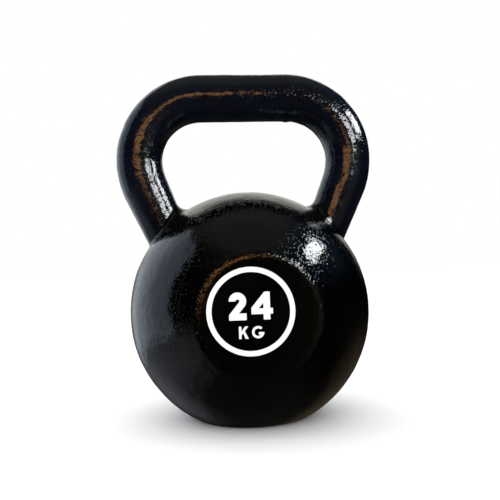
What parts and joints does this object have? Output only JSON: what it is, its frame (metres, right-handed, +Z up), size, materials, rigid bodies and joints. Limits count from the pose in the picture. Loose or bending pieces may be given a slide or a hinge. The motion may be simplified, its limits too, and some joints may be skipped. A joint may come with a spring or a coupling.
{
  "type": "kettlebell",
  "caption": "Cast-iron kettlebell: a ball with flat front, back and base, and a looped handle with a straight grip, in gloss black enamel with a white weight mark.",
  "frame": {"origin": "centre of the base flat, the face that the kettlebell stands on", "axes": "+Z up from the base to the grip, -Y out of the front flat with the printed mark, the handle lies in the XZ plane"},
  "size_m": [0.1964, 0.1617, 0.2625],
  "materials": {
    "black_enamelled_iron": "gloss",
    "bare_iron_shot": "satin",
    "black_painted_steel": "gloss",
    "white_ink": "matte"
  },
  "bodies": {
    "root": {"ball": "black_enamelled_iron", "handle": "black_enamelled_iron", "left_root_weld": "black_enamelled_iron", "right_root_weld": "black_enamelled_iron", "trim_shot": "bare_iron_shot", "trim_plug": "black_painted_steel", "front_ring_print": "white_ink", "front_weight_numerals": "white_ink", "front_unit_letters": "white_ink"}
  },
  "joints": []
}
